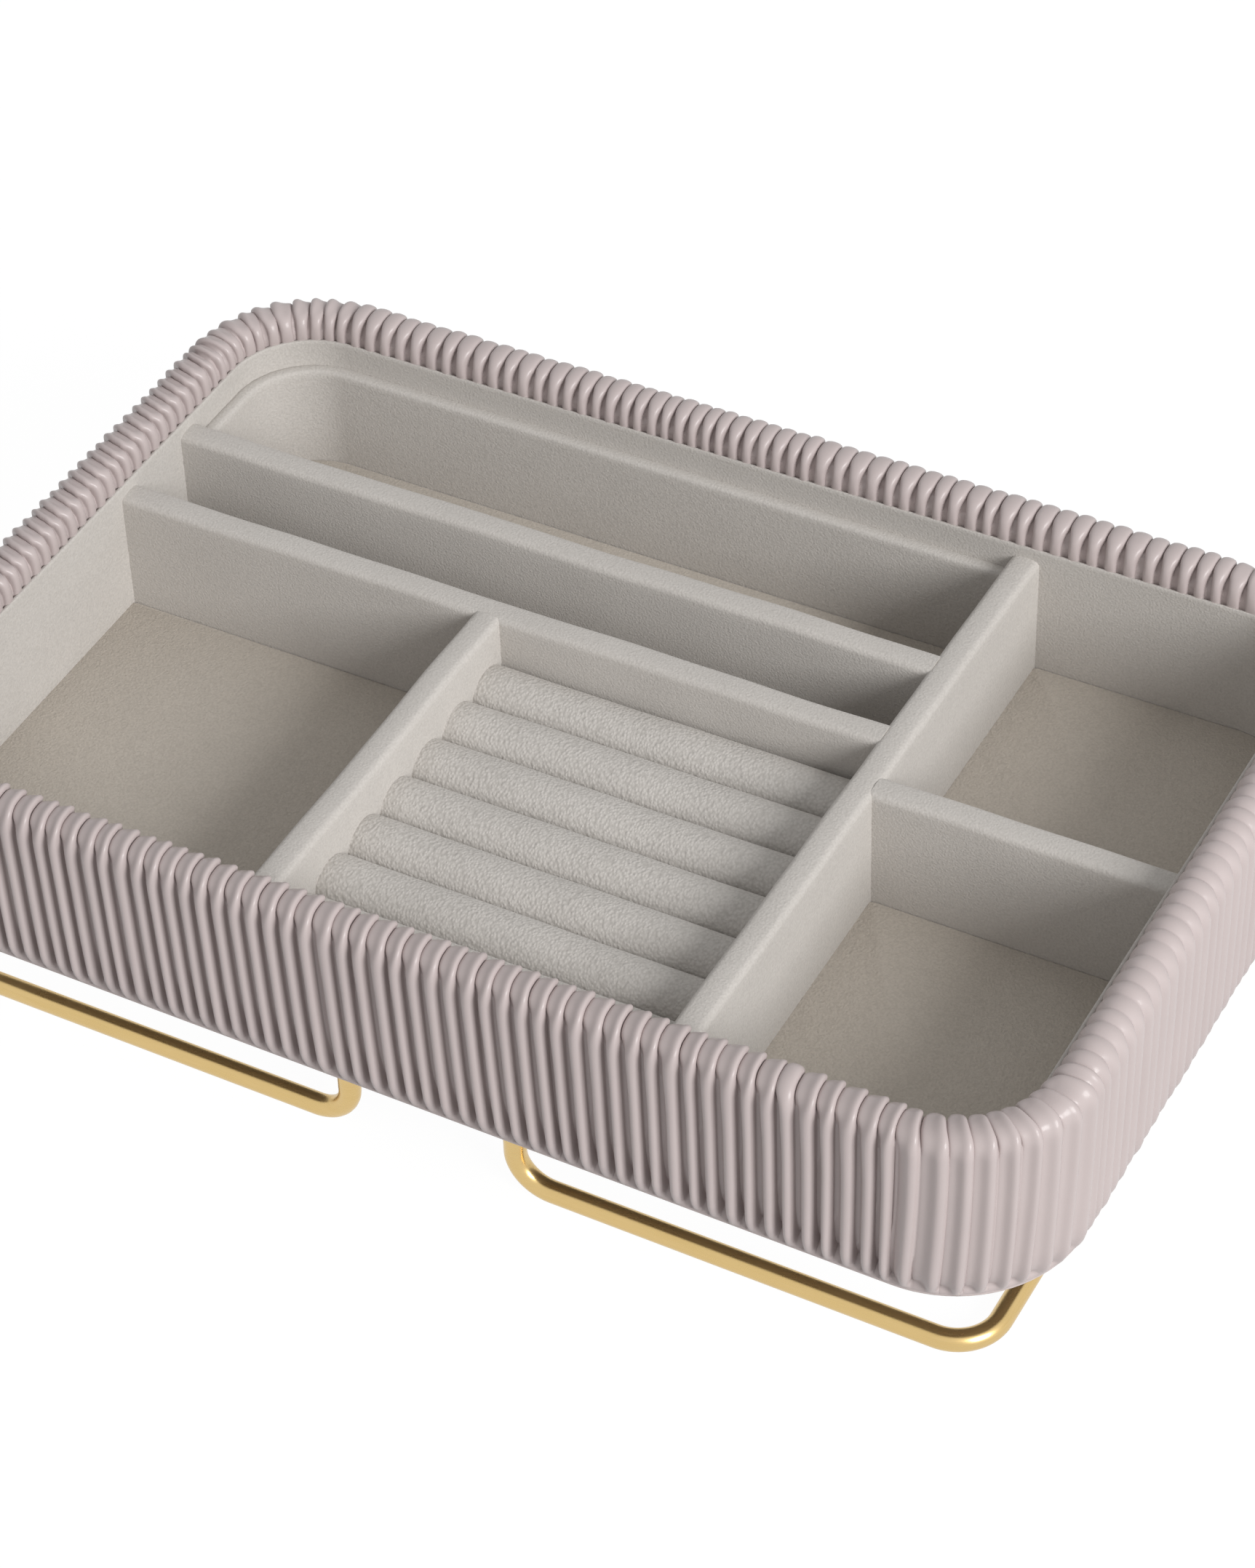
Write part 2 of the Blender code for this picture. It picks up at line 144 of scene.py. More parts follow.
def satin_leatherette():
    """Smooth coated cloth with a soft shine and a grain that is only just there."""
    satin = Finish("satin_leatherette")
    cloudy = satin.noise(45, 3)
    grain = satin.noise(2600, 4, 0.6)
    creases = satin.noise(420, 3, 0.55, (1, 1, 0.35))
    colour = satin.blend(cloudy, (0.468, 0.402, 0.393, 1), (0.518, 0.448, 0.438, 1))
    return satin.shade(
        Base_Color=colour,
        Roughness=0.40 + 0.10 * cloudy + 0.05 * grain,
        Normal=satin.bump(grain * 0.4 + creases, 0.06 * MM, 0.35),
        Specular_IOR_Level=0.25,
        Coat_Weight=0.33,
        Coat_Roughness=0.20,
    )


def quarter_turn(first, steps=CORNER_STEPS):
    """The ways outward round a corner, from the first, in degrees, to the one a quarter turn on."""
    angles = np.radians(first + np.linspace(0, 90, steps + 1))
    return np.stack((np.cos(angles), np.sin(angles)), axis=-1)


def lined_face():
    """Places round the lined face of the wall and the way outward at each, seen from above."""
    places, outward = [], []
    for right, back, first in ((1, -1, -90), (1, 1, 0), (-1, 1, 90), (-1, -1, 180)):
        centre = np.array((right * (HALF_WIDTH - CORNER_RADIUS), back * (HALF_DEPTH - CORNER_RADIUS)))
        ways = quarter_turn(first)
        places.extend(centre + CORNER_RADIUS * ways)
        outward.extend(ways)
    return np.array(places), np.array(outward)


def add_piece(name, points, faces, material, slot, *nodes, sharp=50):
    """A mesh of the tray: smooth but for its sharp edges, finished, and standing for CAD nodes."""
    mesh = bpy.data.meshes.new(name)
    mesh.from_pydata(np.asarray(points).tolist(), [], [list(face) for face in faces])
    mesh.validate()
    mesh.shade_smooth()
    mesh.set_sharp_from_angle(angle=math.radians(sharp))
    mesh.materials.append(material)
    piece = bpy.data.objects.new(name, mesh)
    bpy.context.scene.collection.objects.link(piece)
    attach(piece, "root")
    if nodes:
        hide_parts(*nodes)
    return piece


def grid_faces(rows, columns, rows_close=True):
    """Four-sided faces over rows of points. Each row closes on itself, and the last may meet the first."""
    faces = []
    for row in range(rows if rows_close else rows - 1):
        for column in range(columns):
            next_row = (row + 1) % rows
            next_column = (column + 1) % columns
            faces.append((row * columns + column, row * columns + next_column,
                          next_row * columns + next_column, next_row * columns + column))
    return faces


def capped_faces(rows, columns):
    """Faces over rows of points, each a closed outline, with the first and last outline filled."""
    faces = grid_faces(rows, columns, rows_close=False)
    faces.append(tuple(reversed(range(columns))))
    faces.append(tuple(range((rows - 1) * columns, rows * columns)))
    return faces


def stacked_plate(name, layers, material, slot, *nodes):
    """A plate as layers of one outline, from the lowest up."""
    points = [point for layer in layers for point in layer]
    return add_piece(name, points, capped_faces(len(layers), len(layers[0])), material, slot, *nodes)


def wall_layer(offset, height):
    """The wall's outline at a distance outward from the lined face, at one height."""
    places, outward = lined_face()
    return [(*place, height) for place in places + offset * outward]


satin_finish = satin_leatherette()
low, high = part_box("underside_cover")
underside_edge = high.x - HALF_WIDTH
underside_layers = [
    wall_layer(underside_edge - SHEET_EDGE_IN, low.z),
    wall_layer(underside_edge, low.z + SHEET_EDGE_UP),
    wall_layer(underside_edge, high.z),
]
stacked_plate("underside_sheet", underside_layers, satin_finish, "satin", "underside_cover")


# The base board, the wall frame, the divider cores and the bed of the ring rolls are cut from brown
# fibreboard. The frame is a ring glued round the base, and everything soft is glued over it.

def fibreboard():
    """Pressed wood fibres: short dark flecks on a warm brown."""
    board = Finish("fibreboard")
    fibres = board.noise(900, 5, 0.7, (0.35, 1, 1))
    clouds = board.noise(70, 3)
    colour = board.blend(fibres * 0.7 + clouds * 0.3, (0.16, 0.10, 0.06, 1), (0.36, 0.25, 0.15, 1))
    return board.shade(
        Base_Color=colour,
        Roughness=0.72 + 0.2 * fibres,
        Normal=board.bump(fibres, 0.15 * MM, 0.5),
    )


def refinish(material, slot, *nodes):
    """Gives CAD nodes that keep their shape a finish of the tray's own."""
    for node in nodes:
        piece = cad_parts[node]
        piece.data.materials.clear()
        piece.data.materials.append(material)


board_finish = fibreboard()
refinish(board_finish, "board", "base_board", "wall_frame", "ring_bed")
for divider in ("cross", "rear", "middle", "ring", "right"):
    refinish(board_finish, "board", f"{divider}_divider_core")


# The padding is soft foam, a strip on the outside of the frame that rolls over its top edge. It is
# what makes the wall and the rim plump under the ruched cover.

RIM_CENTRE = 72.1 * MM
RIM_MIDDLE = 6.2 * MM
FOAM_INSIDE = 6.7 * MM
FOAM_OUTSIDE = 8.8 * MM
FOAM_ROLL_ACROSS = 2.8 * MM
FOAM_ROLL_UP = 3.0 * MM


def foam_rubber():
    """Open foam: pale, matt and full of small pores."""
    foam = Finish("foam_rubber")
    pores = foam.node("ShaderNodeTexVoronoi", None, {"Vector": foam.places(), "Scale": 1300})
    colour = foam.blend(pores, (0.50, 0.47, 0.40, 1), (0.80, 0.78, 0.70, 1))
    return foam.shade(
        Base_Color=colour,
        Roughness=0.95,
        Normal=foam.bump(pores, 0.3 * MM, 0.6),
    )


def wall_band(name, section, material, slot, *nodes):
    """A closed band round the wall. Its section is (distance outward, height), up its inside first."""
    places, outward = lined_face()
    points = [(*(place + offset * way), height)
              for place, way in zip(places, outward) for offset, height in section]
    faces = grid_faces(len(places), len(section))
    return add_piece(name, points, faces, material, slot, *nodes)


low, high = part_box("rim_padding")
padding_section = [(FOAM_INSIDE, RIM_CENTRE - 1 * MM), (FOAM_INSIDE - 0.6 * MM, RIM_CENTRE + 0.3 * MM)]
for angle in np.linspace(math.pi, 0, 13):
    padding_section.append((RIM_MIDDLE + FOAM_ROLL_ACROSS * math.cos(angle),
                            RIM_CENTRE + FOAM_ROLL_UP * math.sin(angle)))
padding_section += [
    (FOAM_OUTSIDE, RIM_CENTRE - 12.1 * MM), (FOAM_OUTSIDE - 0.2 * MM, low.z + 10 * MM),
    (FOAM_OUTSIDE - 0.8 * MM, low.z + 6.5 * MM), (FOAM_INSIDE, low.z + 5 * MM),
]
padding = wall_band("wall_padding", padding_section, foam_rubber(), "foam", "rim_padding")


# The ruched cover is one long strip of satin leatherette, gathered by hand into some two hundred
# pleats and drawn over the foam. Down the faces they stand up as round ribs with deep folds between,
# and over the rim each one lies on the next, with a rolled lip along its edge.

COVER_BOTTOM = 30.9 * MM
FACE_OFFSET = 12.0 * MM
FOLD_SHIFT = 0.3 * MM
HEM_TUCK = 2.2 * MM
HEM_TUCK_HEIGHT = 6 * MM
HEM_FOLD_HEIGHTS = (0.3 * MM, 1.2 * MM)
HEM_PINCH_HEIGHTS = (1 * MM, 14 * MM)

# Where the folds lie, in mm round the wall from the left end of its front: every fourth is given.
FOURTH_FOLDS = (
    24.1, 41.1, 57.9, 74.5, 91.3, 109.6, 127.1, 144.1, 161.5, 179.0, 196.5, 214.1, 232.6, 247.3, 259.8,
    274.4, 292.0, 309.4, 326.4, 343.2, 359.3, 375.5, 391.7, 407.9, 423.9, 440.2, 456.5, 474.9, 492.5,
    509.5, 526.2, 543.9, 559.2, 573.8, 588.1, 603.1, 619.3, 636.3, 653.7, 670.5, 683.0, 696.2, 707.5,
    723.1, 739.1, 755.0, 771.5, 787.5, 803.4, 819.8, 836.3, 848.8, 861.2, 876.3,
)

# Heights over the hem of the rows of points up the face, in mm. They crowd where the folds end.
FACE_RISES = (0, 0.4, 0.8, 1.2, 1.8, 3.1, 5.2, 8, 11.5, 15, 19, 23, 26.5, 30, 33, 35.5, 37.5, 39.3)
RIM_ROWS = 24

# The rows tucked in behind the lining: degrees of turn, mm outward, and mm below the rim's centre.
TUCKED_ROWS = ((190, 0.1, 1.4), (205, 0.9, 3.0))

# The climb of a row is how far it has turned over the rim, in degrees: 0 at its outer edge, 180 at
# the lining, and less than 0 down the face. A wavering pleat's wave runs on with both.
CLIMB_PER_MM = 9.5
FACE_HEIGHT_MM = 40
WAVER_DOWN_FACE = 9
WAVER_PER_CLIMB = 0.02

# The climbs between which a pleat changes its shape.
RIB_WIDENS = (-135, 10)
EDGE_ROLLS = (-15, 50)
PLEAT_LEANS = (0, 125)
PLEAT_LIES_OVER = (5, 60)
TONGUE_NARROWS = (80, 175)
FOLD_FADES = (160, 180)
INNER_SIDE_TAKES = 40

# Profiles across one pleat, in shares of its width and of its depth. A rib has its fold on the left,
# a tile is flat with a rolled edge, a lip hangs over its neighbour, and a plump pleat only meets it.
FOLD_WIDE = np.array((0.08, 0.55))
RIB_WIDE = np.array((0, 0.015, 0.04, 0.09, 0.16, 0.25, 0.36, 0.48, 0.60, 0.72, 0.83, 0.91, 0.97, 1))
RIB_HIGH = np.array((0, 0, 0.05, 0.30, 0.50, 0.67, 0.80, 0.91,
                     0.975, 1, 0.975, 0.91, 0.79, 0.62, 0.38, 0.12))
TILE_WIDE = np.array((0, 0.02, 0.05, 0.10, 0.18, 0.26, 0.34, 0.42,
                      0.50, 0.58, 0.66, 0.74, 0.82, 0.90, 0.96, 0.99))
TILE_HIGH = np.array((0.24, 0.26, 0.28, 0.30, 0.32, 0.36, 0.45, 0.59,
                      0.77, 0.92, 1, 0.98, 0.90, 0.74, 0.54, 0.34))
LIP_WIDE = np.array((0, 0.03, 0.07, 0.13, 0.21, 0.31, 0.42, 0.53,
                     0.63, 0.73, 0.82, 0.90, 0.97, 1.03, 1.05, 1.02))
LIP_HIGH = np.array((0.05, 0.28, 0.41, 0.50, 0.55, 0.59, 0.64, 0.71,
                     0.81, 0.92, 0.985, 1, 0.95, 0.80, 0.55, 0.30))
PLUMP_WIDE = np.array((0, 0.012, 0.035, 0.075, 0.14, 0.23, 0.35, 0.48,
                       0.61, 0.72, 0.81, 0.88, 0.93, 0.965, 0.985, 0.997))
PLUMP_HIGH = np.array((0.05, 0.30, 0.50, 0.67, 0.81, 0.91, 0.975, 1,
                       0.995, 0.95, 0.88, 0.78, 0.66, 0.52, 0.34, 0.14))
PROFILE_POINTS = 16
SMOOTH_WIDE = np.arange(PROFILE_POINTS) / PROFILE_POINTS
SMOOTH_HIGH = np.sin(np.pi * SMOOTH_WIDE)
CREVICE = np.array((0.35, *[0] * (PROFILE_POINTS - 2), 0.15)) * MM


def run_lengths():
    """The wall's eight runs, anticlockwise from the front's left end: side, corner, side, corner."""
    across = 2 * (HALF_WIDTH - CORNER_RADIUS)
    back = 2 * (HALF_DEPTH - CORNER_RADIUS)
    turn = math.pi / 2 * CORNER_RADIUS
    return [across, turn, back, turn, across, turn, back, turn]


def along_wall(distance):
    """Where these distances round the wall lie on the lined face, and the way outward there."""
    lengths = run_lengths()
    around = np.mod(distance, sum(lengths))
    place = np.zeros(distance.shape + (2,))
    outward = np.zeros(distance.shape + (2,))
    start = np.array((-(HALF_WIDTH - CORNER_RADIUS), -HALF_DEPTH))
    heading = 0.0
    begun = 0.0
    for run, length in enumerate(lengths):
        here = (around >= begun - 1e-9) & (around <= begun + length + 1e-9)
        forward = np.array((math.cos(heading), math.sin(heading)))
        out = np.array((forward[1], -forward[0]))
        gone = around[here] - begun
        if run % 2 == 0:
            place[here] = start + gone[:, None] * forward
            outward[here] = out
            start = start + length * forward
        else:
            centre = start - CORNER_RADIUS * out
            angle = math.atan2(out[1], out[0]) + gone / CORNER_RADIUS
            way = np.stack((np.cos(angle), np.sin(angle)), axis=-1)
            place[here] = centre + CORNER_RADIUS * way
            outward[here] = way
            heading += math.pi / 2
            start = centre + CORNER_RADIUS * forward
        begun += length
    return place, outward


def by_run(distance, *values):
    """A value for each of the eight runs, which eases into the next run's round where they meet."""
    lengths = np.array(run_lengths())
    ends = np.cumsum(lengths)
    places = np.stack((ends - lengths + 4 * MM, ends - 4 * MM), axis=-1).ravel()
    return np.interp(distance, places, np.repeat(values, 2), period=ends[-1])


def eased(value, low, high):
    """0 below low, 1 above high, and a smooth step between."""
    share = np.clip((value - low) / (high - low), 0, 1)
    return share * share * (3 - 2 * share)


def bulge(angle, squareness):
    """A sine that fills out towards a square corner as squareness goes up from 2."""
    wave = np.sin(angle)
    return np.sign(wave) * np.abs(wave) ** (2 / squareness)


def mixed(*parts):
    """One profile out of several, each given with its share."""
    return sum(profile * share for profile, share in parts)


# Where each pleat starts, as its fold does, and how wide it is.
chance = np.random.default_rng(7)
total = sum(run_lengths())
fourths = np.array(FOURTH_FOLDS + (FOURTH_FOLDS[0] + total / MM,)) * MM
count = 4 * len(FOURTH_FOLDS)
starts = np.interp(np.arange(count), 4 * np.arange(len(fourths)), fourths)
starts = starts + chance.uniform(-FOLD_SHIFT, FOLD_SHIFT, count)
pitches = np.diff(np.append(starts, starts[0] + total))

# The cover's section through a pleat's crest, row by row from the hem up the face and over the rim.
# A line with eight values has one each for the front, the right side, the back and the left side,
# and after each of them one for the corner that follows.
face_up = np.array(FACE_RISES)[:, None] * MM * np.ones(count)
rim_turn = np.linspace(0, 180, RIM_ROWS + 1)[:, None] * np.ones(count)
tucked_turn, tucked_out, tucked_down = np.array(TUCKED_ROWS).T[:, :, None] * np.ones(count)
face_turn = -(RIM_CENTRE - COVER_BOTTOM - face_up) / MM * CLIMB_PER_MM
climb = np.concatenate((face_turn, rim_turn, tucked_turn))
tuck = HEM_TUCK * (1 - np.clip(face_up / HEM_TUCK_HEIGHT, 0, 1)) ** 2
inner_offset = by_run(starts, 0.35, 0.35, 1.0, 0.35, 0.35, 0.35, 0.35, 0.35) * MM
rim_rise = by_run(starts, 5.8, 5.6, 6.4, 6.2, 6.4, 5.9, 6.4, 6.2) * MM
outer_squareness = by_run(starts, 2.2, 2.2, 2.0, 2.2, 2.2, 2.2, 2.2, 2.2)
inner_squareness = by_run(starts, 2.7, 2.3, 2.1, 2.3, 2.35, 2.4, 2.8, 2.5)
squareness = np.where(rim_turn < 90, outer_squareness, inner_squareness)
angle = np.radians(rim_turn)
reach = np.where(rim_turn < 90, FACE_OFFSET - RIM_MIDDLE, RIM_MIDDLE - inner_offset)
rim_crest = RIM_MIDDLE + reach * bulge(math.pi / 2 - angle, squareness)
crest = np.concatenate((FACE_OFFSET - tuck, rim_crest, inner_offset + tucked_out * MM))
rim_height = RIM_CENTRE + rim_rise * bulge(angle, squareness)
height = np.concatenate((COVER_BOTTOM + face_up, rim_height, RIM_CENTRE - tucked_down * MM))
run_out, run_up = np.gradient(crest, axis=0), np.gradient(height, axis=0)
run_long = np.hypot(run_out, run_up)
out_way, up_way = run_up / run_long, -run_out / run_long

# How deep the folds are on the face, on the rim and on its inner side, pleat by pleat.
goes_in = by_run(starts, 130, 110, 95, 95, 95, 95, 100, 110)
inside = eased(climb, goes_in, goes_in + INNER_SIDE_TAKES)
on_rim = eased(climb, *PLEAT_LIES_OVER) * (1 - inside)
on_face = 1 - on_rim - inside
face_depth = by_run(starts, 2.5, 1.9, 1.15, 1.8, 2.4, 1.5, 2.4, 1.8)
rim_depth = by_run(starts, 2.1, 1.9, 0.5, 1.5, 1.6, 1.5, 2.3, 1.8)
inner_depth = by_run(starts, 1.6, 1.5, 0.7, 1.3, 2.3, 1.7, 2.2, 1.6)
depth = (face_depth * on_face + rim_depth * on_rim + inner_depth * inside) * MM
depth = depth * (1 + chance.uniform(-0.08, 0.08, count)) * (1 - 0.4 * eased(climb, *FOLD_FADES))
pinch = by_run(starts, 0.65, 0.2, 0, 0.2, 0.5, 0.2, 0.5, 0.2)
pinched = 1 + pinch * (1 - eased(face_up, *HEM_PINCH_HEIGHTS))
fold_end = np.ones_like(climb)
fold_end[:len(FACE_RISES)] = 0.05 + 0.95 * pinched * eased(face_up, *HEM_FOLD_HEIGHTS)
fold_end[-1] = 0.25

# How the pleats lean and waver along the wall, and how each swells a little more or less.
below = np.clip(-climb / CLIMB_PER_MM / FACE_HEIGHT_MM, 0, 1)
face_lean = np.interp(np.mod(starts, total) / MM, (0, 60, 145, 175, 205, 236, 270, 400, 420),
                      (1.0, 1.5, 1.8, 0.6, 0.2, -0.8, -1.1, -1.2, 0)) * MM
rim_lean = by_run(starts, -1.3, -0.8, 0, 0, 0, 0.5, 3.7, 1.5) * MM
swell = chance.uniform(-0.16, 0.16, count) * MM
wave_size = chance.uniform(0.03, 0.12, count) * by_run(starts, 1, 2.5, 1, 2.5, 1, 2.5, 1, 2.5) * MM
wave_start = chance.uniform(0, 2 * math.pi, count)
waver = wave_size * np.sin(WAVER_DOWN_FACE * below + WAVER_PER_CLIMB * climb + wave_start)
lateral = face_lean * below ** 1.75 + rim_lean * eased(climb, *PLEAT_LEANS) + waver

# The profile of each pleat in each row: ribs, tiles at the corners, or no more than a smooth wave.
# Over the rim they lie on each other, and inside it they narrow to tongues.
smooth = by_run(starts, 0, 0, 1, 0, 0, 0, 0, 0)[:, None]
tiled = by_run(starts, 0, 1, 0, 1, 0, 1, 0, 1)[:, None]
lips = by_run(starts, 1, 0.8, 0, 0.2, 0, 0.5, 1, 0.5)[:, None]
BURIED_LIP = 43  # the one pleat whose edge lies under its neighbour's
lips[BURIED_LIP] = 0
tiled_laps = tiled * (1 - lips)
ribbed = 1 - tiled - smooth
plump = 1 - lips - tiled_laps - smooth
rib_share = (0.62 + 0.10 * eased(climb, *RIB_WIDENS))[:, :, None]
ribs = np.concatenate(((1 - rib_share) * FOLD_WIDE, 1 - rib_share + rib_share * RIB_WIDE), axis=-1)
narrowing = by_run(starts, 0.3, 0.3, 0.1, 0.3, 0.38, 0.17, 0.30, 0.32)
tongue = (1 - narrowing * eased(climb, *TONGUE_NARROWS))[:, :, None]
tongues = PLUMP_WIDE * tongue + (1 - tongue) / 2
face_wide = mixed((ribs, ribbed), (TILE_WIDE, tiled), (SMOOTH_WIDE, smooth))
face_high = mixed((RIB_HIGH, ribbed), (TILE_HIGH, tiled), (SMOOTH_HIGH, smooth))
lap_wide = mixed((LIP_WIDE, lips), (PLUMP_WIDE, plump), (TILE_WIDE, tiled_laps), (SMOOTH_WIDE, smooth))
lap_high = mixed((LIP_HIGH, lips), (PLUMP_HIGH, plump), (TILE_HIGH, tiled_laps), (SMOOTH_HIGH, smooth))
inner_wide = mixed((tongues, 1 - smooth), (SMOOTH_WIDE, smooth))
inner_high = mixed((PLUMP_HIGH, 1 - smooth), (SMOOTH_HIGH, smooth))
face, rim, inside = on_face[:, :, None], on_rim[:, :, None], inside[:, :, None]
rolled = eased(climb, *EDGE_ROLLS)[:, :, None] * (1 - inside)
wide = mixed((face_wide, face), (lap_wide, rim), (inner_wide, inside))
high = mixed((face_high, 1 - rolled - inside), (lap_high, rolled), (inner_high, inside))
crevice = rim * (1 - smooth - 0.6 * tiled) * CREVICE
sunk = (depth * fold_end)[:, :, None] * (1 - high) + crevice - swell[:, None] * high
distance = (starts + lateral)[:, :, None] + wide * pitches[:, None]
offset = crest[:, :, None] - out_way[:, :, None] * sunk
level = height[:, :, None] - up_way[:, :, None] * sunk

# The cover's hidden back, which lies on the foam and closes the skin: mm outward and the height.
back_rows = [
    (2.9, RIM_CENTRE - 2.0 * MM), (3.1, RIM_CENTRE + 1.5 * MM), (4.6, RIM_CENTRE + 3.2 * MM),
    (6.3, RIM_CENTRE + 3.5 * MM), (8.1, RIM_CENTRE + 2.3 * MM), (9.0, RIM_CENTRE - 0.4 * MM),
    (9.0, COVER_BOTTOM + 19.1 * MM), (8.2, COVER_BOTTOM + 10.1 * MM), (6.3, COVER_BOTTOM + 5.1 * MM),
    (6.3, COVER_BOTTOM + 0.2 * MM),
]
back_distance = starts[None, :, None] + ribs[:1] * pitches[None, :, None]
flat = np.ones_like(back_distance)
distance = np.concatenate((distance, *[back_distance for _ in back_rows]))
offset = np.concatenate((offset, *[outward * MM * flat for outward, _ in back_rows]))
level = np.concatenate((level, *[up * flat for _, up in back_rows]))

place, outward = along_wall(distance)
cover_points = np.concatenate((place + offset[..., None] * outward, level[..., None]), axis=-1)
cover_faces = grid_faces(distance.shape[0], count * PROFILE_POINTS)
cover = add_piece("ruched_cover_skin", cover_points.reshape(-1, 3), cover_faces, satin_finish, "satin",
                  "ruched_cover", sharp=80)


# The hem is the cover's lower edge, turned in flat under the wall. It shows as a smooth narrow
# strip below the ends of the folds.

HEM_BOTTOM = 30.0 * MM
hem_section = [
    (5.2 * MM, HEM_BOTTOM + 1.3 * MM), (8.4 * MM, HEM_BOTTOM + 1.4 * MM), (9.2 * MM, HEM_BOTTOM + 1.4 * MM),
    (9.8 * MM, HEM_BOTTOM + 1.2 * MM), (9.95 * MM, HEM_BOTTOM + 0.8 * MM), (9.7 * MM, HEM_BOTTOM + 0.4 * MM),
    (9.1 * MM, HEM_BOTTOM + 0.1 * MM), (8.2 * MM, HEM_BOTTOM), (5.0 * MM, HEM_BOTTOM + 0.1 * MM),
]
wall_band("turned_hem", hem_section, satin_finish, "satin", "hem_band")


# The wall lining is suede glued to thin card that stands inside the frame. Its top edge closes the
# joint where the ruched cover is tucked in.

def suede(name, dark, light, nap_scale, nap_rise, pebbled):
    """Short brushed nap: a fine crinkled grain, broad strokes where it lies another way, no shine."""
    cloth = Finish(name)
    grain = cloth.noise(nap_scale, 1.5, 0.5)
    nap = (1 - pebbled) * grain + pebbled * cloth.pebbles(nap_scale, (1, 0.8, 0.9), (0, 0, 0.3))
    strokes = cloth.noise(55, 3, 0.55)
    mottle = cloth.node("ShaderNodeMapRange", None, {"Value": nap, 1: 0.35, 2: 0.65})
    colour = cloth.blend(0.02 + 0.54 * mottle + 0.42 * strokes, (*dark, 1), (*light, 1))
    return cloth.shade(
        Base_Color=colour,
        Roughness=0.9,
        Normal=cloth.bump(nap, nap_rise * MM, 1.0),
        Specular_IOR_Level=0.15,
        Sheen_Weight=0.25,
        Sheen_Roughness=0.5,
        Sheen_Tint=(0.85, 0.83, 0.80, 1),
    )


LINING_THICKNESS = 1.5 * MM
LINING_FOLD = 1.7 * MM
LINING_RISE = 2.0 * MM
suede_finish = suede("suede", (0.470, 0.443, 0.414), (0.590, 0.560, 0.527), 1800, 0.16, 0.3)
low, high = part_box("wall_lining")
lining_section = [
    (LINING_THICKNESS, low.z), (0.0, low.z), (0.0, high.z - LINING_FOLD), (0.0, high.z - 1.2 * MM),
    (0.15 * MM, high.z - 0.8 * MM), (0.45 * MM, high.z - 0.7 * MM), (0.9 * MM, high.z - 0.9 * MM),
    (LINING_THICKNESS, high.z - 1.6 * MM),
]
lining = wall_band("suede_lining", lining_section, suede_finish, "suede", "wall_lining")

# Along the right side the lining reaches higher into the rim.
for point in lining.data.vertices:
    if point.co.z > high.z - LINING_THICKNESS:
        point.co.z += LINING_RISE * eased(point.co.x, HALF_WIDTH - 10 * MM, HALF_WIDTH - 1 * MM)


# The rear step liner is a second strip of suede covered card, bent round the rear compartment's
# left and back walls. It stops short of the lining's top, so its edge shows as a step.

low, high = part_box("rear_step_liner")
LINER_THICKNESS = 2.8 * MM
LINER_GAP = 0.3 * MM
LINER_FACE = -(LINER_GAP + LINER_THICKNESS)
liner_run = [(low.x - LINER_GAP, low.y, -1, 0)]
for x, y in reversed(quarter_turn(90)):
    liner_run.append((CORNER_RADIUS * (1 + x) - HALF_WIDTH, HALF_DEPTH - CORNER_RADIUS * (1 - y), x, y))
liner_run.append((high.x, HALF_DEPTH, 0, 1))
liner_section = [
    (-LINER_GAP, low.z), (-LINER_GAP, high.z - 3 * MM), (0.1 * MM, high.z - 2 * MM),
    (0.1 * MM, high.z - 0.35 * MM), (-0.35 * MM, high.z - 0.12 * MM), (-0.9 * MM, high.z),
    (LINER_FACE + 1.0 * MM, high.z), (LINER_FACE + 0.35 * MM, high.z - 0.25 * MM),
    (LINER_FACE + 0.05 * MM, high.z - 0.9 * MM), (LINER_FACE, high.z - 2 * MM), (LINER_FACE, low.z),
]
liner_points = [(x + offset * out_x, y + offset * out_y, z)
                for x, y, out_x, out_y in liner_run for offset, z in liner_section]
liner_faces = capped_faces(len(liner_run), len(liner_section))
add_piece("suede_step_liner", liner_points, liner_faces, suede_finish, "suede", "rear_step_liner")


# Each divider is a board core in a folded suede wrap with a thin layer of padding, soft along its
# top edges. The cross divider runs front to back and the others butt against it.

DIVIDER_EDGE = 1.7 * MM
DIVIDER_CROWN = 0.2 * MM
DIVIDER_RIPPLE = 0.10 * MM
DIVIDER_STATIONS = 60
INTO_LINING = 0.5 * MM
INTO_DIVIDER = 1.1 * MM


def divider_section(thick, bottom, top):
    """The outline of a divider's wrap, as (across, height): flat sides and a soft crowned top."""
    half = thick / 2
    section = [(half, bottom), (half, bottom + 0.5 * (top - bottom)), (half, top - 2.5 * DIVIDER_EDGE)]
    for step in range(7):
        angle = math.radians(90 * step / 6)
        across = half - DIVIDER_EDGE + DIVIDER_EDGE * math.cos(angle)
        section.append((across, top - DIVIDER_CROWN - DIVIDER_EDGE + DIVIDER_EDGE * math.sin(angle)))
    section.append((0.0, top))
    mirrored = [(-across, z) for across, z in reversed(section[:-1])]
    return section + mirrored


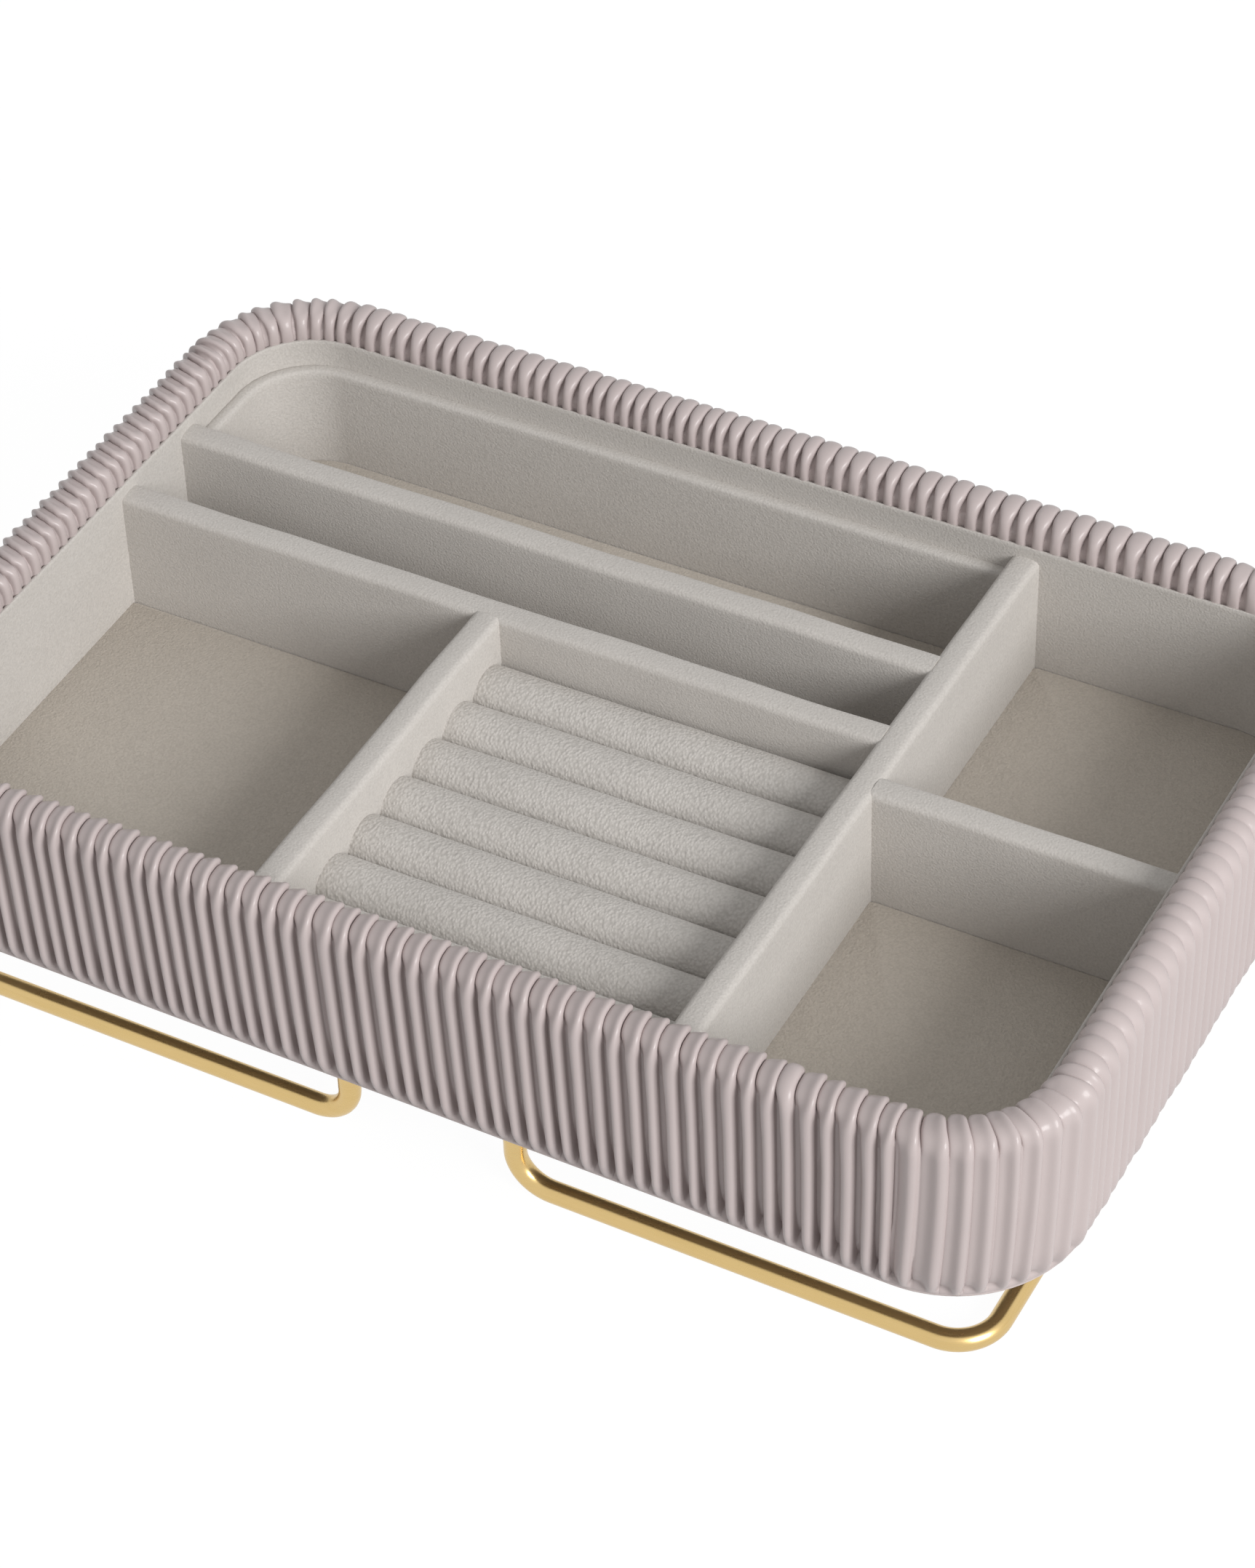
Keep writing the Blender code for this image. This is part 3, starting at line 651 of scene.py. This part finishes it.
def padded_divider(node, along_x, start_into, end_into):
    """A divider in its CAD node's place. Its ends press a little way into their soft neighbours."""
    low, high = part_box(node)
    first, last = (low.x, high.x) if along_x else (low.y, high.y)
    middle = (low.y + high.y) / 2 if along_x else (low.x + high.x) / 2
    thick = high.y - low.y if along_x else high.x - low.x
    section = divider_section(thick, low.z, high.z)
    stations = np.linspace(first - start_into, last + end_into, DIVIDER_STATIONS)
    ripple = chance.uniform(0, 2 * math.pi, 4)
    points = []
    for run in stations:
        soft = DIVIDER_RIPPLE * (math.sin(90 * run + ripple[0]) + 0.6 * math.sin(210 * run + ripple[1]))
        lift = DIVIDER_RIPPLE * (math.sin(70 * run + ripple[2]) + 0.5 * math.sin(160 * run + ripple[3]))
        for across, z in section:
            upward = (z - low.z) / (high.z - low.z)
            side = middle + across + soft * upward
            level = z + lift * upward
            points.append((run, side, level) if along_x else (side, run, level))
    faces = capped_faces(len(stations), len(section))
    if not along_x:
        faces = [tuple(reversed(face)) for face in faces]
    piece = add_piece(node + "_wrap", points, faces, suede_finish, "suede", node)


padded_divider("cross_divider", along_x=False, start_into=INTO_LINING, end_into=INTO_LINING)
padded_divider("rear_divider", along_x=True, start_into=INTO_LINING, end_into=INTO_DIVIDER)
padded_divider("middle_divider", along_x=True, start_into=INTO_LINING, end_into=INTO_DIVIDER)
padded_divider("ring_divider", along_x=False, start_into=INTO_LINING, end_into=INTO_DIVIDER)
padded_divider("right_divider", along_x=True, start_into=INTO_DIVIDER, end_into=INTO_LINING)


# The compartment floors are suede covered cards dropped in between the dividers. Their folded
# edges leave a fine dark line all round.

CARD_CORNER = 0.8 * MM
CARD_CORNER_STEPS = 4
CARD_LEFT_REACH = 0.4 * MM

# The card's edge, as mm inward and mm over its lower face, then under its upper one.
CARD_LOWER_EDGE = ((0.2, 0), (-0.25, 0.4))
CARD_UPPER_EDGE = ((-0.25, 0.5), (-0.15, 0.15), (0.1, 0))
# The floors' suede is the wall suede made darker and warmer: painted shade for floors that lie in the shade
# of the walls and dividers.
painted_shade_floor_finish = suede("floor_suede_painted_shade", (0.451, 0.408, 0.357), (0.577, 0.526, 0.463), 1800, 0.20, 0.3)


def floor_card(node, radii):
    """A card in its CAD node's place. Radii go anticlockwise from the front left, 0 for a sharp corner."""
    low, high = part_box(node)
    corners = ((low.x, low.y, 180), (high.x, low.y, 270), (high.x, high.y, 0), (low.x, high.y, 90))
    places, outward = [], []
    for (x, y, first), radius in zip(corners, radii):
        ways = quarter_turn(first, CORNER_STEPS if radius else CARD_CORNER_STEPS)
        radius = radius or CARD_CORNER
        side_x = 1 if x == low.x else -1
        side_y = 1 if y == low.y else -1
        places.extend(np.array((x + side_x * radius, y + side_y * radius)) + radius * ways)
        outward.extend(ways)
    places, outward = np.array(places), np.array(outward)
    places[outward[:, 0] < -0.5, 0] -= CARD_LEFT_REACH
    edge = [(inward, low.z + up * MM) for inward, up in CARD_LOWER_EDGE]
    edge += [(inward, high.z - down * MM) for inward, down in CARD_UPPER_EDGE]
    layers = [[(*place, z) for place in places - inward * MM * outward] for inward, z in edge]
    stacked_plate(node + "_card", layers, painted_shade_floor_finish, "suede", node)


CARD_GAP = 0.3 * MM
wall_corner = CORNER_RADIUS - CARD_GAP
liner_inside = CORNER_RADIUS + LINER_FACE - CARD_GAP
floor_card("left_floor", (wall_corner, 0, 0, 0))
floor_card("middle_floor", (0, 0, 0, 0))
floor_card("rear_floor", (0, 0, 0, liner_inside))
floor_card("back_right_floor", (0, 0, wall_corner, 0))
floor_card("front_right_floor", (0, wall_corner, 0, 0))


# The ring rolls are sticks of foam in a grained suede, glued side by side on a board bed. Rings
# are pushed down into the creases between them.

ROLL_CROWN = 6.0 * MM
ROLL_REACH = 0.4 * MM
ROLL_RIPPLE = 0.12 * MM
ROLL_END = 1.2 * MM
ROLL_END_DRAW = 0.035
ROLL_STATIONS = 40
roll_finish = suede("grained_suede", (0.44, 0.416, 0.388), (0.61, 0.580, 0.547), 1500, 0.30, 0.6)


def ring_roll(node):
    """A roll along the bed, a little uneven, its cover drawn in at both ends."""
    low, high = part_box(node)
    half = (high.y - low.y) / 2
    middle = (high.y + low.y) / 2
    shoulder = high.z - ROLL_CROWN
    section = [(half, low.z)]
    for angle in np.linspace(0, math.pi, 25):
        section.append((half * math.cos(angle), shoulder + ROLL_CROWN * math.sin(angle)))
    section.append((-half, low.z))
    first, last = low.x - ROLL_REACH, high.x + ROLL_REACH
    stations = np.linspace(first, last, ROLL_STATIONS)
    ripple = chance.uniform(0, 2 * math.pi, 2)
    points = []
    for run in stations:
        to_end = min(run - first, last - run)
        drawn = ROLL_END_DRAW * (1 - min(1.0, to_end / ROLL_END)) ** 2
        lift = ROLL_RIPPLE * (math.sin(110 * run + ripple[0]) + 0.5 * math.sin(260 * run + ripple[1]))
        for across, z in section:
            up = max(0.0, z - shoulder) / ROLL_CROWN
            points.append((run, middle + across * (1 - drawn), z + (lift - drawn * ROLL_CROWN) * up))
    faces = capped_faces(len(stations), len(section))
    piece = add_piece(node + "_foam", points, faces, roll_finish, "roll_suede", node)


for roll in range(1, 8):
    ring_roll(f"ring_roll_{roll}")


# Each foot is one length of steel wire, bent round the tray's edge and gold plated. Its two ends
# turn up and screw into plated inserts in the base board.

WIRE_RADIUS = 2.6 * MM
RAIL_Y = 83.75 * MM
RAIL_X = 132.8 * MM
ROD_X = 21.1 * MM
ROD_TOP = 34.1 * MM
ROD_BEND = 9.0 * MM
PLAN_BEND = 10.5 * MM
BEND_STEPS = 20


def gold_plate():
    """Polished plating: a clear warm reflection with the faintest drag of the polishing wheel."""
    gold = Finish("gold_plate")
    drag = gold.noise(1800, 3, 0.6, (0.05, 0.05, 1))
    return gold.shade(
        Base_Color=gold.blend(drag, (0.64, 0.455, 0.19, 1), (0.73, 0.535, 0.25, 1)),
        Metallic=1.0,
        Roughness=0.22 + 0.12 * drag,
        Normal=gold.bump(drag, 0.02 * MM, 0.3),
    )


def foot_path(side):
    """The wire's centre line: down a rod, out along the front, back along the side and up again."""
    half = [(side * ROD_X, -RAIL_Y, ROD_TOP)]
    for step in range(BEND_STEPS + 1):
        angle = math.radians(90 * step / BEND_STEPS)
        half.append((side * (ROD_X + ROD_BEND * (1 - math.cos(angle))), -RAIL_Y,
                     WIRE_RADIUS + ROD_BEND * (1 - math.sin(angle))))
    for step in range(BEND_STEPS + 1):
        angle = math.radians(90 * step / BEND_STEPS)
        half.append((side * (RAIL_X - PLAN_BEND * (1 - math.sin(angle))),
                     -RAIL_Y + PLAN_BEND * (1 - math.cos(angle)), WIRE_RADIUS))
    return half + [(x, -y, z) for x, y, z in reversed(half)]


gold_finish = gold_plate()
for side, name in ((-1, "left"), (1, "right")):
    path = foot_path(side)
    curve = bpy.data.curves.new(f"wire_foot_{name}", "CURVE")
    curve.dimensions = "3D"
    curve.bevel_depth = WIRE_RADIUS
    curve.bevel_resolution = 8
    curve.use_fill_caps = True
    spline = curve.splines.new("POLY")
    spline.points.add(len(path) - 1)
    for point, place in zip(spline.points, path):
        point.co = (*place, 1)
    spline.use_smooth = True
    curve.materials.append(gold_finish)
    wire = bpy.data.objects.new(f"wire_foot_{name}", curve)
    bpy.context.scene.collection.objects.link(wire)
    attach(wire, "root")
    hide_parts(f"foot_wire_{name}")


def plated_steel():
    """Turned steel with a dull zinc plate."""
    steel = Finish("plated_steel")
    turned = steel.noise(2500, 2, 0.5, (0.1, 0.1, 1))
    return steel.shade(
        Base_Color=steel.blend(turned, (0.42, 0.42, 0.43, 1), (0.60, 0.60, 0.60, 1)),
        Metallic=1.0,
        Roughness=0.3 + 0.15 * turned,
    )


steel_finish = plated_steel()
for end in ("front", "back"):
    refinish(steel_finish, "steel", f"foot_insert_{end}_left", f"foot_insert_{end}_right")


# The studio: a pale plain floor that shows nearly white to the camera and keeps a soft shadow,
# white all round, and one broad lamp far off on the right.

FLOOR_REACH = 4.0
FLOOR_WHITENESS = 0.88


def studio_paper():
    """Matt grey paper to the light, and mostly plain white to the camera, less where it is in shade."""
    paper = Finish("studio_floor")
    seen = paper.seen_directly()
    matt = paper.node("ShaderNodeBsdfDiffuse", None, {"Color": (0.45, 0.45, 0.45, 1)})
    white = paper.node("ShaderNodeEmission", None, {"Color": (1, 1, 1, 1), "Strength": 1.10})
    surface = paper.node("ShaderNodeMixShader", None, {0: seen * FLOOR_WHITENESS, 1: matt, 2: white})
    paper.node("ShaderNodeOutputMaterial", None, {"Surface": surface})
    return paper.made


floor_mesh = bpy.data.meshes.new("studio_floor")
floor_corners = [(-FLOOR_REACH, -FLOOR_REACH, 0), (FLOOR_REACH, -FLOOR_REACH, 0),
                 (FLOOR_REACH, FLOOR_REACH, 0), (-FLOOR_REACH, FLOOR_REACH, 0)]
floor_mesh.from_pydata(floor_corners, [], [(0, 1, 2, 3)])
floor_mesh.materials.append(studio_paper())
floor = bpy.data.objects.new("studio_floor", floor_mesh)
bpy.context.scene.collection.objects.link(floor)

world = Finish("studio_white", bpy.data.worlds)
seen = world.seen_directly()
plain = world.node("ShaderNodeBackground", None, {"Color": (1, 1, 1, 1), "Strength": 0.49})
backdrop = world.node("ShaderNodeBackground", None, {"Color": (1, 1, 1, 1), "Strength": 1.0})
either = world.node("ShaderNodeMixShader", None, {0: seen, 1: plain, 2: backdrop})
world.node("ShaderNodeOutputWorld", None, {"Surface": either})
bpy.context.scene.world = world.made


LAMP_AIM = 0.05


def softbox(name, azimuth, elevation, distance, size, power):
    """A square lamp that faces the tray. Azimuth is from the front, anticlockwise from above."""
    lamp = bpy.data.lights.new(name, "AREA")
    lamp.shape = "SQUARE"
    lamp.size = size
    lamp.energy = power
    holder = bpy.data.objects.new(name, lamp)
    bpy.context.scene.collection.objects.link(holder)
    around, up = math.radians(azimuth), math.radians(elevation)
    holder.location = (distance * math.sin(around) * math.cos(up),
                       -distance * math.cos(around) * math.cos(up),
                       LAMP_AIM + distance * math.sin(up))
    holder.rotation_euler = (math.pi / 2 - up, 0, around)


softbox("key_lamp", azimuth=68, elevation=28, distance=3.5, size=1.5, power=107)


# The camera stands at the tray's front right, above it, with the long lens of a product photo.

camera_data = bpy.data.cameras.new("camera")
camera_data.lens = 104.6
camera_data.sensor_width = 36.0
camera_data.shift_x = 0.1400
camera_data.shift_y = 0.0012
camera_data.clip_start = 0.01
camera_data.clip_end = 20
camera = bpy.data.objects.new("camera", camera_data)
camera.location = (0.3808, -0.6719, 0.7413)
camera.rotation_euler = Euler([math.radians(angle) for angle in (47.9385, 3.3647, 29.8483)])
bpy.context.scene.collection.objects.link(camera)
bpy.context.scene.camera = camera
bpy.context.scene.view_settings.view_transform = "Standard"
